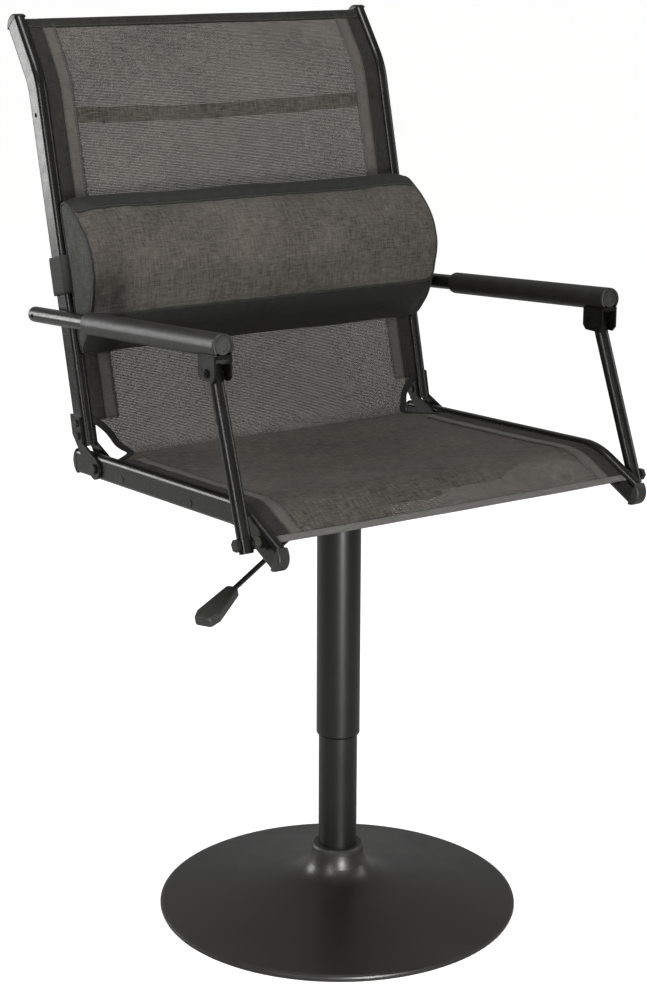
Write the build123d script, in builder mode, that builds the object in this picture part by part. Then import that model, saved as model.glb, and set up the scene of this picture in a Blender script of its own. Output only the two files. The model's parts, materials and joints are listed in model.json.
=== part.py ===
from build123d import *
import os
from math import cos, sin, radians, degrees, atan2, sqrt, hypot

os.makedirs("parts", exist_ok=True)

# Swivel chair on a gas-lift column, with a back that folds over the seat.
# Millimetres, +Z up, origin at the centre of the base on the floor.
# The chair faces -Y. The sitter's left side is +X, the right side is -X.

# ---------------------------------------------------------------- dimensions
BASE_R = 225.0            # spun base disc
NECK_R = 32.0             # top of the trumpet neck
NECK_Z = 73.0
COLLAR_Z = 80.0
COL_R, COL_WALL = 24.0, 2.0        # lower column tube
COL_TOP = 322.0
COVER_R, COVER_WALL = 27.0, 2.0    # upper cover tube
COVER_BOT, COVER_TOP = 234.0, 505.0
CYL_R, CYL_BOT, CYL_TOP = 14.0, 236.0, 528.0
ROD_R = 5.0
LIFT = 140.0              # stroke of the gas spring, down from the pose shown

RAIL_X = 248.0            # centre of rails and posts
SEC_W, SEC_H, SEC_FIL, SEC_T = 14.0, 30.0, 6.0, 1.8
KEDER_OFF = 9.5           # keder slot, from the section's centre
SHEET_T = 1.2             # sling fabric
SLOPE = 0.056             # seat rails rise to the front
RAIL_REAR_Y = 196.0
BEND_Y, BEND_Z = -182.0, 591.2
NOSE_ANG = 24.0
NOSE_LEN = 81.0

REC = 0.25                # back plane: y grows 0.25 per z
POST_FOOT_Z = 592.5
POST_BEND = (287.0, 1018.6)
POST_TOP = (337.0, 1086.0)

P0 = (143.0, 571.5)       # fold hinge (y, z)
P1 = (210.0, 745.3)       # arm pivot
P2 = (-158.0, 744.3)      # strut top pin
P3 = (-225.0, 570.5)      # strut bottom bolt
ARM_X = 266.5
STRUT_X = 271.0
ARM_R, SLEEVE_R = 9.5, 13.5
ARM_SLOPE = 0.0785
STRUT_R = 8.0

LEVER_AZ = 27.5           # forward of -X
LEVER_PIVOT_R, LEVER_PIVOT_Z = 35.0, 531.0
BUTTON_TOP = 535.6


def rail_z(y):
    return 581.0 - SLOPE * y


def post_y(z):
    return 232.5 + REC * (z - 800.0)


UP_N = sqrt(1 + REC * REC)
POST_D = (REC / UP_N, 1 / UP_N)            # up along the post in (y, z)
POST_F = (-1 / UP_N, REC / UP_N)           # forward, away from the post's face
FACE0 = (post_y(800.0) + POST_F[0] * 15.0, 800.0 + POST_F[1] * 15.0)


def back_yz(t, s):
    """Point t in front of the posts' front face and s up along it, from z = 800."""
    return (FACE0[0] + POST_F[0] * t + POST_D[0] * s,
            FACE0[1] + POST_F[1] * t + POST_D[1] * s)


ARM_N = sqrt(1 + ARM_SLOPE * ARM_SLOPE)
ARM_D = (-1 / ARM_N, ARM_SLOPE / ARM_N)    # forward along the arm


def arm_plane(x, along, down=0.0):
    y = P1[0] + ARM_D[0] * along
    z = P1[1] + ARM_D[1] * along
    return Plane(origin=(x, y - ARM_SLOPE / ARM_N * down, z - down / ARM_N),
                 x_dir=(1, 0, 0), z_dir=(0, ARM_D[0], ARM_D[1]))


# ================================================================ base body
# Spun steel cover: trumpet neck and shallow dish, 2 mm shell.
OUT = [(NECK_R, NECK_Z), (36.5, 56.0), (50.5, 42.0), (78.0, 32.5), (221.0, 8.2)]
with BuildPart() as base_cover:
    with BuildSketch(Plane.XZ) as prof:
        with BuildLine():
            t1 = TangentArc(OUT[0], OUT[1], tangent=(0.05, -1))
            t2 = TangentArc(t1 @ 1, OUT[2], tangent=t1 % 1)
            t3 = TangentArc(t2 @ 1, OUT[3], tangent=t2 % 1)
            t4 = TangentArc(t3 @ 1, OUT[4], tangent=t3 % 1)
            Line(t4 @ 1, (BASE_R - 0.6, 6.4))
            Line((BASE_R - 0.6, 6.4), (BASE_R, 4.6))
            Line((BASE_R, 4.6), (BASE_R, 3.2))
            Line((BASE_R, 3.2), (BASE_R - 3.0, 3.2))
            Line((BASE_R - 3.0, 3.2), (BASE_R - 4.5, 6.2))
            l1 = TangentArc((NECK_R - 2.1, NECK_Z), (34.4, 55.2), tangent=(0.05, -1))
            l2 = TangentArc(l1 @ 1, (48.9, 40.0), tangent=l1 % 1)
            l3 = TangentArc(l2 @ 1, (77.0, 30.2), tangent=l2 % 1)
            l4 = TangentArc(l3 @ 1, (BASE_R - 4.5, 6.2), tangent=l3 % 1)
            Line(l1 @ 0, t1 @ 0)
        make_face()
    revolve(axis=Axis.Z)
base_cover.part.label = "base_cover"
export_step(base_cover.part, "parts/base_cover.step")

# Rubber ring under the rim, the only thing that touches the floor.
with BuildPart() as floor_pad:
    with BuildSketch():
        Circle(BASE_R - 1.0)
    extrude(amount=3.2)
    fillet(floor_pad.edges().filter_by(GeomType.CIRCLE), radius=0.8)
floor_pad.part.label = "floor_pad"
export_step(floor_pad.part, "parts/floor_pad.step")

# Steel weight disc inside the cover.
with BuildPart() as base_weight:
    with BuildSketch(Plane.XY.offset(3.2)):
        Circle(198.0)
        Circle(20.0, mode=Mode.SUBTRACT)
    extrude(amount=5.0)
    with BuildSketch(Plane.XY.offset(3.2)):
        with PolarLocations(30.0, 4):
            Circle(3.0)
    extrude(amount=5.0, mode=Mode.SUBTRACT)
base_weight.part.label = "base_weight"
export_step(base_weight.part, "parts/base_weight.step")

# Flange that carries the column tube and the thrust bearing.
with BuildPart() as column_flange:
    with BuildSketch(Plane.XY.offset(8.2)):
        Circle(37.0)
        Circle(5.2, mode=Mode.SUBTRACT)
    extrude(amount=5.8)
    with BuildSketch(Plane.XY.offset(14.0)):
        Circle(COL_R + 4.0)
        Circle(COL_R, mode=Mode.SUBTRACT)
    extrude(amount=12.0)
    with BuildSketch(Plane.XY.offset(8.2)):
        with PolarLocations(30.0, 4):
            Circle(3.0)
    extrude(amount=30.0, mode=Mode.SUBTRACT)
column_flange.part.label = "column_flange"
export_step(column_flange.part, "parts/column_flange.step")

with BuildPart() as flange_bolts:
    with BuildSketch(Plane.XY.offset(3.2)):
        with PolarLocations(30.0, 4):
            Circle(3.0)
    extrude(amount=10.8)
    with BuildSketch(Plane.XY.offset(14.0)):
        with PolarLocations(32.9, 4):
            Circle(4.0)
    extrude(amount=4.0)
flange_bolts.part.label = "flange_bolts"
export_step(flange_bolts.part, "parts/flange_bolts.step")

# Lower column tube, standing on the flange.
with BuildPart() as column_tube:
    with BuildSketch(Plane.XY.offset(14.0)):
        Circle(COL_R)
        Circle(COL_R - COL_WALL, mode=Mode.SUBTRACT)
    extrude(amount=COL_TOP - 14.0)
column_tube.part.label = "column_tube"
export_step(column_tube.part, "parts/column_tube.step")

# Plastic collar closing the neck round the tube.
with BuildPart() as neck_collar:
    with BuildSketch(Plane.XZ):
        with BuildLine():
            Polyline((COL_R, NECK_Z - 9.0), (NECK_R - 2.6, NECK_Z - 9.0), (NECK_R - 2.6, NECK_Z), (NECK_R + 0.6, NECK_Z),
                     (NECK_R + 0.6, COLLAR_Z - 2.6), (NECK_R - 1.4, COLLAR_Z), (COL_R, COLLAR_Z), close=True)
        make_face()
    revolve(axis=Axis.Z)
neck_collar.part.label = "neck_collar"
export_step(neck_collar.part, "parts/neck_collar.step")

# Plastic bushing in the top of the column tube, guiding the gas cylinder.
with BuildPart() as guide_bushing:
    with BuildSketch(Plane.XY.offset(COL_TOP - 36.0)):
        Circle(COL_R - COL_WALL)
        Circle(CYL_R + 0.05, mode=Mode.SUBTRACT)
    extrude(amount=36.0)
    with BuildSketch(Plane.XY.offset(COL_TOP)):
        Circle(COL_R)
        Circle(CYL_R + 0.05, mode=Mode.SUBTRACT)
    extrude(amount=3.0)
guide_bushing.part.label = "guide_bushing"
export_step(guide_bushing.part, "parts/guide_bushing.step")

# Thrust bearing: lower race, balls in the base, upper race on the rod.
with BuildPart() as lower_race:
    with BuildSketch(Plane.XY.offset(14.0)):
        Circle(15.0)
        Circle(5.6, mode=Mode.SUBTRACT)
    extrude(amount=2.0)
lower_race.part.label = "lower_race"
export_step(lower_race.part, "parts/lower_race.step")

with BuildPart() as bearing_balls:
    with Locations(Plane.XY.offset(18.5)):
        with PolarLocations(10.5, 10):
            Sphere(2.5)
bearing_balls.part.label = "bearing_balls"
export_step(bearing_balls.part, "parts/bearing_balls.step")

# ================================================================ spindle body
with BuildPart() as upper_race:
    with BuildSketch(Plane.XY.offset(21.05)):
        Circle(15.0)
        Circle(ROD_R, mode=Mode.SUBTRACT)
    extrude(amount=2.0)
upper_race.part.label = "upper_race"
export_step(upper_race.part, "parts/upper_race.step")

with BuildPart() as gas_rod:
    with BuildSketch(Plane.XY.offset(4.6)):
        Circle(ROD_R)
    extrude(amount=262.0 - 4.6)
    with BuildSketch(Plane.XY.offset(23.05)):
        Circle(8.5)
    extrude(amount=6.0)
    with BuildSketch(Plane.XY.offset(6.4)):
        Circle(ROD_R)
        Circle(4.0, mode=Mode.SUBTRACT)
    extrude(amount=1.5, mode=Mode.SUBTRACT)
gas_rod.part.label = "gas_rod"
export_step(gas_rod.part, "parts/gas_rod.step")

with BuildPart() as rod_clip:
    with BuildSketch(Plane.XY.offset(6.4)):
        Circle(9.0)
        Circle(4.0, mode=Mode.SUBTRACT)
        with Locations((6.0, 0)):
            Rectangle(12.0, 5.6, mode=Mode.SUBTRACT)
    extrude(amount=1.5)
rod_clip.part.label = "rod_clip"
export_step(rod_clip.part, "parts/rod_clip.step")

with BuildPart() as gas_piston:
    with BuildSketch(Plane.XY.offset(252.0)):
        Circle(11.95)
        Circle(ROD_R, mode=Mode.SUBTRACT)
    extrude(amount=9.0)
gas_piston.part.label = "gas_piston"
export_step(gas_piston.part, "parts/gas_piston.step")

# ================================================================ seat body
with BuildPart() as gas_cylinder:
    with BuildSketch(Plane.XY.offset(CYL_BOT)):
        Circle(CYL_R)
    extrude(amount=474.0 - CYL_BOT)
    with BuildSketch(Plane.XY.offset(474.0)):
        Circle(CYL_R)
    with BuildSketch(Plane.XY.offset(CYL_TOP)):
        Circle(CYL_R - 1.4)
    loft()
    with BuildSketch(Plane.XY.offset(CYL_BOT)):
        Circle(12.0)
    extrude(amount=278.0, mode=Mode.SUBTRACT)
    with BuildSketch(Plane.XY.offset(514.0)):
        Circle(3.1)
    extrude(amount=20.0, mode=Mode.SUBTRACT)
gas_cylinder.part.label = "gas_cylinder"
export_step(gas_cylinder.part, "parts/gas_cylinder.step")

with BuildPart() as rod_gland:
    with BuildSketch(Plane.XY.offset(CYL_BOT)):
        Circle(12.0)
        Circle(ROD_R + 0.05, mode=Mode.SUBTRACT)
    extrude(amount=12.0)
rod_gland.part.label = "rod_gland"
export_step(rod_gland.part, "parts/rod_gland.step")

# Cover tube over the lower column, with its end ring.
with BuildPart() as cover_tube:
    with BuildSketch(Plane.XY.offset(COVER_BOT)):
        Circle(COVER_R)
        Circle(COVER_R - COVER_WALL, mode=Mode.SUBTRACT)
    extrude(amount=COVER_TOP - COVER_BOT)
cover_tube.part.label = "cover_tube"
export_step(cover_tube.part, "parts/cover_tube.step")

with BuildPart() as cover_ring:
    with BuildSketch(Plane.XZ):
        with BuildLine():
            Polyline((COL_R + 0.08, COVER_BOT - 7.0), (COVER_R - 1.8, COVER_BOT - 7.0), (COVER_R, COVER_BOT - 4.6), (COVER_R, COVER_BOT),
                     (COVER_R - COVER_WALL, COVER_BOT), (COVER_R - COVER_WALL, COVER_BOT + 12.0), (COL_R + 0.08, COVER_BOT + 12.0), close=True)
        make_face()
    revolve(axis=Axis.Z)
cover_ring.part.label = "cover_ring"
export_step(cover_ring.part, "parts/cover_ring.step")

# Lever geometry: unit vector out along the lever and its pivot axis.
LX, LY = -cos(radians(LEVER_AZ)), -sin(radians(LEVER_AZ))
LEVER_ROT = degrees(atan2(LY, LX))

# Pressed box with the tapered hub that takes the gas cylinder's head.
with BuildPart() as mechanism_box:
    with BuildSketch(Plane.XY.offset(505.0)):
        RectangleRounded(104.0, 84.0, 8.0)
    extrude(amount=38.0)
    with BuildSketch(Plane.XY.offset(507.5)):
        RectangleRounded(99.0, 79.0, 6.0)
    extrude(amount=40.0, mode=Mode.SUBTRACT)
    with BuildSketch(Plane.XY.offset(476.0)):
        Circle(22.0)
    extrude(amount=48.0)
    with BuildSketch(Plane.XY.offset(474.0)):
        Circle(CYL_R)
    with BuildSketch(Plane.XY.offset(CYL_TOP)):
        Circle(CYL_R - 1.4)
    loft(mode=Mode.SUBTRACT)
    # slot where the lever comes out
    with BuildSketch(Plane.YZ.offset(-60.0)):
        with Locations((-27.0, 532.0)):
            RectangleRounded(14.0, 22.5, 3.0)
    extrude(amount=20.0, mode=Mode.SUBTRACT)
mechanism_box.part.label = "mechanism_box"
export_step(mechanism_box.part, "parts/mechanism_box.step")

BAR_Y = 80.0              # crossbars under the seat
BOLT_X = 70.0
with BuildPart() as seat_plate:
    with BuildSketch(Plane.XY.offset(543.0)):
        RectangleRounded(180.0, 196.0, 16.0)
        with GridLocations(2 * BOLT_X, 2 * BAR_Y, 2, 2):
            Circle(4.0, mode=Mode.SUBTRACT)
    extrude(amount=3.0)
seat_plate.part.label = "seat_plate"
export_step(seat_plate.part, "parts/seat_plate.step")


def bar_points(y):
    ze = rail_z(y) - 5.0
    return [(-RAIL_X + 7.0, y, ze), (-222.0, y, ze), (-176.0, y, 556.0), (176.0, y, 556.0), (222.0, y, ze), (RAIL_X - 7.0, y, ze)]


with BuildPart() as crossbar_front:
    with BuildLine() as fpath:
        FilletPolyline(*bar_points(-BAR_Y), radius=26.0)
    with BuildSketch(Plane(origin=fpath.line @ 0, z_dir=(1, 0, 0))):
        Circle(10.0)
        Circle(8.5, mode=Mode.SUBTRACT)
    sweep()
    with BuildSketch(Plane.XY.offset(540.0)):
        with Locations((-BOLT_X, -BAR_Y), (BOLT_X, -BAR_Y)):
            Circle(4.0)
    extrude(amount=40.0, mode=Mode.SUBTRACT)
crossbar_front.part.label = "crossbar_front"
export_step(crossbar_front.part, "parts/crossbar_front.step")

with BuildPart() as crossbar_rear:
    with BuildLine() as rpath:
        FilletPolyline(*bar_points(BAR_Y), radius=26.0)
    with BuildSketch(Plane(origin=rpath.line @ 0, z_dir=(1, 0, 0))):
        Circle(10.0)
        Circle(8.5, mode=Mode.SUBTRACT)
    sweep()
    with BuildSketch(Plane.XY.offset(540.0)):
        with Locations((-BOLT_X, BAR_Y), (BOLT_X, BAR_Y)):
            Circle(4.0)
    extrude(amount=40.0, mode=Mode.SUBTRACT)
crossbar_rear.part.label = "crossbar_rear"
export_step(crossbar_rear.part, "parts/crossbar_rear.step")

with BuildPart() as plate_bolts:
    with BuildSketch(Plane.XY.offset(538.0)):
        with GridLocations(2 * BOLT_X, 2 * BAR_Y, 2, 2):
            RegularPolygon(7.0, 6)
    extrude(amount=5.0)
    with BuildSketch(Plane.XY.offset(543.0)):
        with GridLocations(2 * BOLT_X, 2 * BAR_Y, 2, 2):
            Circle(4.0)
    extrude(amount=23.0)
    with BuildSketch(Plane.XY.offset(566.0)):
        with GridLocations(2 * BOLT_X, 2 * BAR_Y, 2, 2):
            Circle(6.0)
    extrude(amount=3.0)
plate_bolts.part.label = "plate_bolts"
export_step(plate_bolts.part, "parts/plate_bolts.step")

# Seat rails: bent hollow section with a keder slot on the inner side.
NA = radians(NOSE_ANG)
NOSE_END = (BEND_Y - NOSE_LEN * cos(NA), BEND_Z - NOSE_LEN * sin(NA))
REAR_END = (RAIL_REAR_Y, rail_z(RAIL_REAR_Y))
with BuildPart() as rail_left:
    with BuildLine() as lpath:
        FilletPolyline((RAIL_X, *REAR_END), (RAIL_X, BEND_Y, BEND_Z), (RAIL_X, *NOSE_END), radius=90.0)
    with BuildSketch(Plane(origin=lpath.line @ 0, x_dir=(1, 0, 0), z_dir=lpath.line % 0)):
        RectangleRounded(SEC_W, SEC_H, SEC_FIL)
        RectangleRounded(SEC_W - 2 * SEC_T, SEC_H - 2 * SEC_T, SEC_FIL - SEC_T, mode=Mode.SUBTRACT)
        with Locations((-6.0, KEDER_OFF)):
            Rectangle(5.0, SHEET_T + 0.9, mode=Mode.SUBTRACT)
    sweep()
    # hinge bolt, strut bolt and crossbar holes, through both walls
    with BuildSketch(Plane.YZ.offset(RAIL_X - 12.0)):
        with Locations(P0, P3):
            Circle(4.0)
        with Locations((-BAR_Y, rail_z(-BAR_Y) - 5.0), (BAR_Y, rail_z(BAR_Y) - 5.0)):
            Circle(3.0)
    extrude(amount=24.0, mode=Mode.SUBTRACT)
rail_left.part.label = "rail_left"
export_step(rail_left.part, "parts/rail_left.step")

with BuildPart() as rail_right:
    mirror(rail_left.part, about=Plane.YZ)
rail_right.part.label = "rail_right"
export_step(rail_right.part, "parts/rail_right.step")

# Moulded end caps of the rails: a domed nose in front, a rounded heel behind.
FD = (-cos(NA), -sin(NA))
FU = (-sin(NA), cos(NA))
RD = (1 / sqrt(1 + SLOPE ** 2), -SLOPE / sqrt(1 + SLOPE ** 2))
RU = (-RD[1], RD[0])


def off(p, d, a, u, b):
    return (p[0] + d[0] * a + u[0] * b, p[1] + d[1] * a + u[1] * b)


with BuildPart() as rail_caps:
    for sx in (-1, 1):
        with BuildSketch(Plane.YZ.offset(sx * RAIL_X - 7.5)):
            with BuildLine():
                a = off(NOSE_END, FD, 0, FU, 15.3)
                b = off(NOSE_END, FD, 0, FU, -15.3)
                m2 = off(NOSE_END, FD, 11.0, FU, 0.0)
                ThreePointArc(a, m2, b)
                Line(b, a)
            make_face()
        extrude(amount=15.0)
        with BuildSketch(Plane.YZ.offset(sx * RAIL_X - 7.5)):
            with BuildLine():
                a = off(REAR_END, RD, 0, RU, 15.3)
                b = off(REAR_END, RD, 0, RU, -15.3)
                m2 = off(REAR_END, RD, 8.5, RU, 0.0)
                ThreePointArc(a, m2, b)
                Line(b, a)
            make_face()
        extrude(amount=15.0)
    fillet(rail_caps.faces().filter_by(Axis.X).edges().filter_by(GeomType.CIRCLE), radius=2.6)
rail_caps.part.label = "rail_caps"
export_step(rail_caps.part, "parts/rail_caps.step")

with BuildPart() as crossbar_bolts:
    for sx in (-1, 1):
        for yy in (-BAR_Y, BAR_Y):
            with BuildSketch(Plane(origin=(sx * (RAIL_X + 7.0), yy, rail_z(yy) - 5.0), x_dir=(0, 1, 0), z_dir=(sx, 0, 0))):
                Circle(5.0)
            extrude(amount=0.6)
            with BuildSketch(Plane(origin=(sx * (RAIL_X + 7.0), yy, rail_z(yy) - 5.0), x_dir=(0, 1, 0), z_dir=(-sx, 0, 0))):
                Circle(3.0)
            extrude(amount=30.0)
crossbar_bolts.part.label = "crossbar_bolts"
export_step(crossbar_bolts.part, "parts/crossbar_bolts.step")

# Hinge bolts of the folding back, fixed in the rails.
with BuildPart() as hinge_bolts:
    for sx in (-1, 1):
        with BuildSketch(Plane(origin=(sx * 236.0, *P0), x_dir=(0, 1, 0), z_dir=(sx, 0, 0))):
            Circle(4.0)
        extrude(amount=22.9)
        with BuildSketch(Plane(origin=(sx * 258.9, *P0), x_dir=(0, 1, 0), z_dir=(sx, 0, 0))):
            Circle(6.2)
        extrude(amount=2.6)
        with BuildSketch(Plane(origin=(sx * 236.9, *P0), x_dir=(0, 1, 0), z_dir=(-sx, 0, 0))):
            RegularPolygon(7.0, 6)
        extrude(amount=4.6)
hinge_bolts.part.label = "hinge_bolts"
export_step(hinge_bolts.part, "parts/hinge_bolts.step")

# Strut bolts and the spacers that carry the struts clear of the rails.
with BuildPart() as strut_bolts:
    for sx in (-1, 1):
        with BuildSketch(Plane(origin=(sx * 236.5, *P3), x_dir=(0, 1, 0), z_dir=(sx, 0, 0))):
            Circle(4.0)
        extrude(amount=STRUT_X + STRUT_R + 0.5 - 236.5)
        with BuildSketch(Plane(origin=(sx * (STRUT_X + STRUT_R + 0.5), *P3), x_dir=(0, 1, 0), z_dir=(sx, 0, 0))):
            RegularPolygon(7.2, 6)
        extrude(amount=4.8)
        with BuildSketch(Plane(origin=(sx * 241.0, *P3), x_dir=(0, 1, 0), z_dir=(-sx, 0, 0))):
            RegularPolygon(7.0, 6)
        extrude(amount=4.6)
strut_bolts.part.label = "strut_bolts"
export_step(strut_bolts.part, "parts/strut_bolts.step")

with BuildPart() as strut_spacers:
    for sx in (-1, 1):
        with BuildSketch(Plane(origin=(sx * 255.0, *P3), x_dir=(0, 1, 0), z_dir=(sx, 0, 0))):
            Circle(7.0)
            Circle(4.0, mode=Mode.SUBTRACT)
        extrude(amount=7.6)
strut_spacers.part.label = "strut_spacers"
export_step(strut_spacers.part, "parts/strut_spacers.step")

# Seat sling: one sheet in the keder slots.
SHEET_Z = KEDER_OFF
SEAT_FRONT = 66.0         # how far down the nose the sheet reaches
SEAT_REAR_Y = 108.0


def off_rail(y, d):
    return (y + SLOPE * d / sqrt(1 + SLOPE ** 2), rail_z(y) + d / sqrt(1 + SLOPE ** 2))


def sheet_path(d, rear_y):
    half = radians((NOSE_ANG + degrees(atan2(SLOPE, 1))) / 2)
    # mitred corner of the offset line
    k = d / cos(half)
    ang = radians(90.0) + (radians(NOSE_ANG) - atan2(SLOPE, 1)) / 2
    corner = (BEND_Y + k * cos(ang), BEND_Z + k * sin(ang))
    front = (BEND_Y + FD[0] * SEAT_FRONT + FU[0] * d, BEND_Z + FD[1] * SEAT_FRONT + FU[1] * d)
    return [off_rail(rear_y, d), corner, front]


with BuildPart() as seat_sling:
    with BuildSketch(Plane.YZ.offset(-RAIL_X + 2.0)):
        with BuildLine():
            u = FilletPolyline(*sheet_path(SHEET_Z + SHEET_T / 2, SEAT_REAR_Y), radius=90.0 + SHEET_Z)
            l = FilletPolyline(*sheet_path(SHEET_Z - SHEET_T / 2, SEAT_REAR_Y), radius=90.0 + SHEET_Z)
            Line(u @ 0, l @ 0)
            Line(u @ 1, l @ 1)
        make_face()
    extrude(amount=2 * RAIL_X - 4.0)
    # tongue towards the fold, narrower than the notches
    with BuildSketch(Plane.YZ.offset(-204.0)):
        with BuildLine():
            Polyline(off_rail(SEAT_REAR_Y - 0.5, SHEET_Z + SHEET_T / 2), off_rail(128.0, SHEET_Z + SHEET_T / 2 - 0.6),
                     off_rail(128.0, SHEET_Z - SHEET_T / 2 - 0.6), off_rail(SEAT_REAR_Y - 0.5, SHEET_Z - SHEET_T / 2), close=True)
        make_face()
    extrude(amount=408.0)
    # square bead along each side, held in the rails' slots
    for xa in (-RAIL_X + 0.2, RAIL_X - 3.8):
        with BuildSketch(Plane.YZ.offset(xa)):
            with BuildLine():
                u = FilletPolyline(*sheet_path(SHEET_Z + 1.8, SEAT_REAR_Y), radius=90.0 + SHEET_Z)
                l = FilletPolyline(*sheet_path(SHEET_Z - 1.8, SEAT_REAR_Y), radius=90.0 + SHEET_Z)
                Line(u @ 0, l @ 0)
                Line(u @ 1, l @ 1)
            make_face()
        extrude(amount=3.6)
seat_sling.part.label = "seat_sling"
export_step(seat_sling.part, "parts/seat_sling.step")

# Ears and pin that carry the lever.
PIV = (LX * LEVER_PIVOT_R, LY * LEVER_PIVOT_R, LEVER_PIVOT_Z)
with BuildPart() as lever_bracket:
    for s in (-1, 1):
        with BuildSketch(Plane(origin=(PIV[0] - LY * s * 7.0, PIV[1] + LX * s * 7.0, 543.0), x_dir=(LX, LY, 0), z_dir=(0, 0, -1))):
            Rectangle(16.0, 2.4)
        extrude(amount=19.0)
    with BuildSketch(Plane(origin=(PIV[0] + LY * 12.0, PIV[1] - LX * 12.0, PIV[2]), x_dir=(LX, LY, 0), z_dir=(-LY, LX, 0))):
        Circle(2.5)
    extrude(amount=24.0, mode=Mode.SUBTRACT)
lever_bracket.part.label = "lever_bracket"
export_step(lever_bracket.part, "parts/lever_bracket.step")

with BuildPart() as lever_pin:
    with BuildSketch(Plane(origin=(PIV[0] + LY * 10.0, PIV[1] - LX * 10.0, PIV[2]), x_dir=(LX, LY, 0), z_dir=(-LY, LX, 0))):
        Circle(2.5)
    extrude(amount=20.0)
lever_pin.part.label = "lever_pin"
export_step(lever_pin.part, "parts/lever_pin.step")

# ================================================================ release button
with BuildPart() as release_button:
    with BuildSketch(Plane.XY.offset(518.0)):
        Circle(3.0)
    extrude(amount=BUTTON_TOP - 518.0)
    fillet(release_button.faces().sort_by(Axis.Z)[-1].edges(), radius=0.8)
release_button.part.label = "release_button"
export_step(release_button.part, "parts/release_button.step")

# ================================================================ lever
LZ = 0.2300               # the rod drops this much per mm outwards


def lv(r, z):
    return (LX * r, LY * r, z)


ROD_OUT_R = 262.0
ROD_OUT_Z = LEVER_PIVOT_Z - LZ * (ROD_OUT_R - LEVER_PIVOT_R)
with BuildPart() as lever_rod:
    with BuildLine() as lvpath:
        FilletPolyline(lv(-5.0, 539.2), lv(16.0, 539.2), lv(LEVER_PIVOT_R, LEVER_PIVOT_Z), lv(ROD_OUT_R, ROD_OUT_Z), radius=18.0)
    with BuildSketch(Plane(origin=lvpath.line @ 0, z_dir=lvpath.line % 0)):
        Circle(3.0)
    sweep()
    with BuildSketch(Plane(origin=(PIV[0] + LY * 5.2, PIV[1] - LX * 5.2, PIV[2]), x_dir=(LX, LY, 0), z_dir=(-LY, LX, 0))):
        Circle(5.6)
    extrude(amount=10.4)
    with BuildSketch(Plane(origin=(PIV[0] + LY * 9.0, PIV[1] - LX * 9.0, PIV[2]), x_dir=(LX, LY, 0), z_dir=(-LY, LX, 0))):
        Circle(2.55)
    extrude(amount=18.0, mode=Mode.SUBTRACT)
lever_rod.part.label = "lever_rod"
export_step(lever_rod.part, "parts/lever_rod.step")

# Paddle grip pushed over the rod's end: flat-topped, widening to a rounded end.
GZ = -0.30
GN = sqrt(1 + GZ * GZ)
GD = (LX / GN, LY / GN, GZ / GN)
GT = (-LX * GZ / GN, -LY * GZ / GN, 1 / GN)
G0 = lv(248.0, LEVER_PIVOT_Z - LZ * (248.0 - LEVER_PIVOT_R))
with BuildPart() as lever_grip:
    with BuildSketch(Plane(origin=(G0[0] - GT[0] * 6.0, G0[1] - GT[1] * 6.0, G0[2] - GT[2] * 6.0), x_dir=GD, z_dir=GT)) as gsk:
        with BuildLine():
            Polyline((-1.0, -7.6), (-1.0, 7.6), (54.0, 15.0), (68.0, 10.5), (68.0, -10.5), (54.0, -15.0), close=True)
        make_face()
        fillet(gsk.vertices(), radius=5.0)
    extrude(amount=11.6)
    fillet(lever_grip.faces().sort_by(Axis((0, 0, 0), GT))[-1].edges(), radius=3.2)
    fillet(lever_grip.faces().sort_by(Axis((0, 0, 0), GT))[0].edges(), radius=2.0)
    with BuildLine() as gpath:
        Line(lv(240.0, LEVER_PIVOT_Z - LZ * (240.0 - LEVER_PIVOT_R)), lv(ROD_OUT_R, ROD_OUT_Z))
    with BuildSketch(Plane(origin=gpath.line @ 0, z_dir=gpath.line % 0)):
        Circle(3.0)
    sweep(mode=Mode.SUBTRACT)
lever_grip.part.label = "lever_grip"
export_step(lever_grip.part, "parts/lever_grip.step")

# ================================================================ back body
FOOT = (post_y(POST_FOOT_Z), POST_FOOT_Z)
with BuildPart() as post_left:
    with BuildLine() as ppath:
        FilletPolyline((RAIL_X, *FOOT), (RAIL_X, *POST_BEND), (RAIL_X, *POST_TOP), radius=90.0)
    with BuildSketch(Plane(origin=ppath.line @ 0, x_dir=(1, 0, 0), z_dir=ppath.line % 0)):
        RectangleRounded(SEC_W, SEC_H, SEC_FIL)
        RectangleRounded(SEC_W - 2 * SEC_T, SEC_H - 2 * SEC_T, SEC_FIL - SEC_T, mode=Mode.SUBTRACT)
        with Locations((-6.0, -KEDER_OFF)):
            Rectangle(5.0, SHEET_T + 0.9, mode=Mode.SUBTRACT)
    sweep()
    with BuildSketch(Plane.YZ.offset(RAIL_X - 12.0)):
        with Locations((post_y(980.0), 980.0)):
            Circle(3.0)
    extrude(amount=24.0, mode=Mode.SUBTRACT)
    with BuildSketch(Plane.YZ.offset(RAIL_X + 3.0)):
        with Locations(P1):
            Circle(4.0)
    extrude(amount=8.0, mode=Mode.SUBTRACT)
post_left.part.label = "post_left"
export_step(post_left.part, "parts/post_left.step")

with BuildPart() as post_right:
    mirror(post_left.part, about=Plane.YZ)
post_right.part.label = "post_right"
export_step(post_right.part, "parts/post_right.step")

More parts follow.
